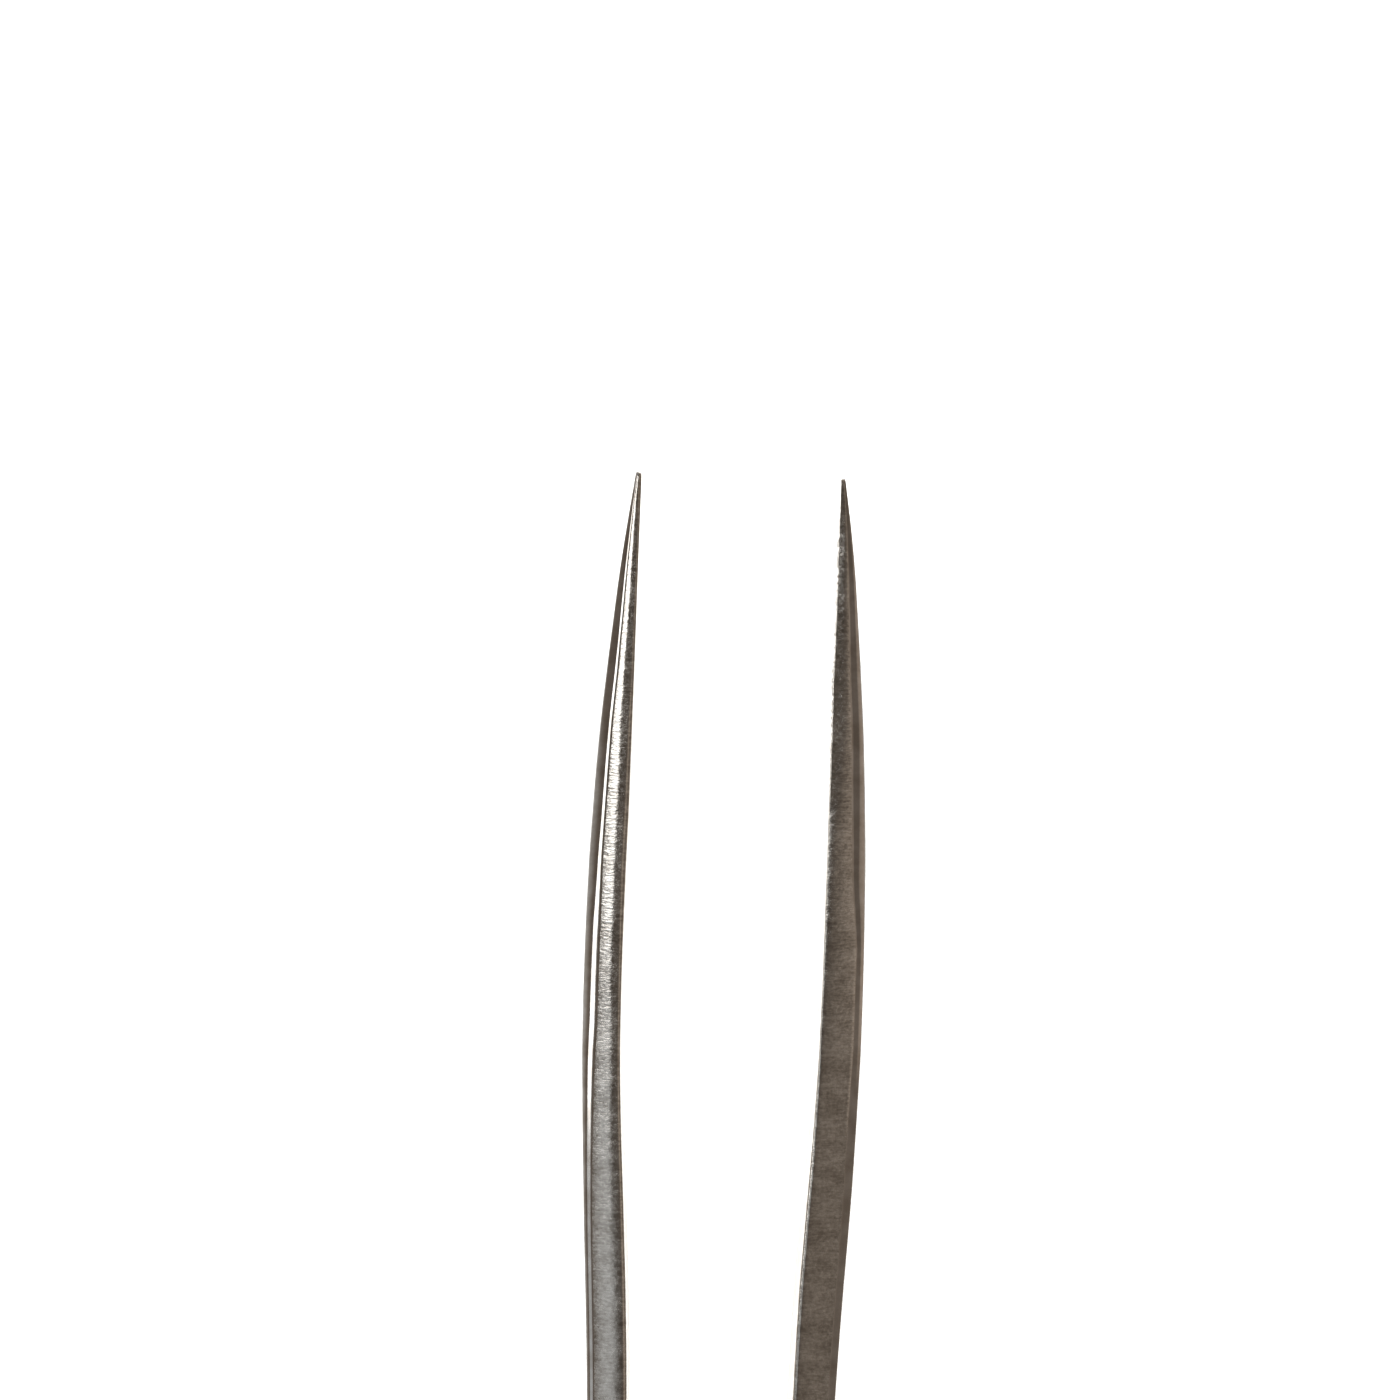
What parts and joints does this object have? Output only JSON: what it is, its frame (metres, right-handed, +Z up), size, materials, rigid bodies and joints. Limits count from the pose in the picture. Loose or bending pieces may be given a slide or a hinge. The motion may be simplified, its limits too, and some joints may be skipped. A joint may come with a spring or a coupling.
{
  "type": "aquascaping tweezers",
  "caption": "Long straight tweezers for planting aquarium plants: slim sprung steel arms, welded at the tail, with flat parallel jaws and fine points.",
  "frame": {"origin": "on the surface that the tool lies on, under the middle of its length and midway between the arms", "axes": "+Y along the tool from the tail to the points, +X to the right seen from above with the points away, +Z up across the width of the strips"},
  "size_m": [0.0168, 0.27, 0.01],
  "materials": {
    "ground_steel": "stainless steel ground across the edges, satin on the faces",
    "rolled_steel": "plain rolled stainless strip",
    "weld_steel": "weld metal, slightly heat-tinted"
  },
  "bodies": {
    "tail": {"tail_spacer": "rolled_steel", "weld_nuggets": "weld_steel"},
    "left_arm": {"left_arm": "ground_steel"},
    "right_arm": {"right_arm": "ground_steel"}
  },
  "joints": [
    {"name": "left_arm_spring", "type": "hinge", "parent": "tail", "child": "left_arm", "pos_m": [-0.0005, -0.113, 0.005], "axis": [0, 0, -1], "range_deg": [0, 1.38], "stiffness_Nm_per_rad": 12},
    {"name": "right_arm_spring", "type": "hinge", "parent": "tail", "child": "right_arm", "pos_m": [0.0005, -0.113, 0.005], "axis": [0, 0, 1], "range_deg": [0, 1.38], "stiffness_Nm_per_rad": 12}
  ]
}
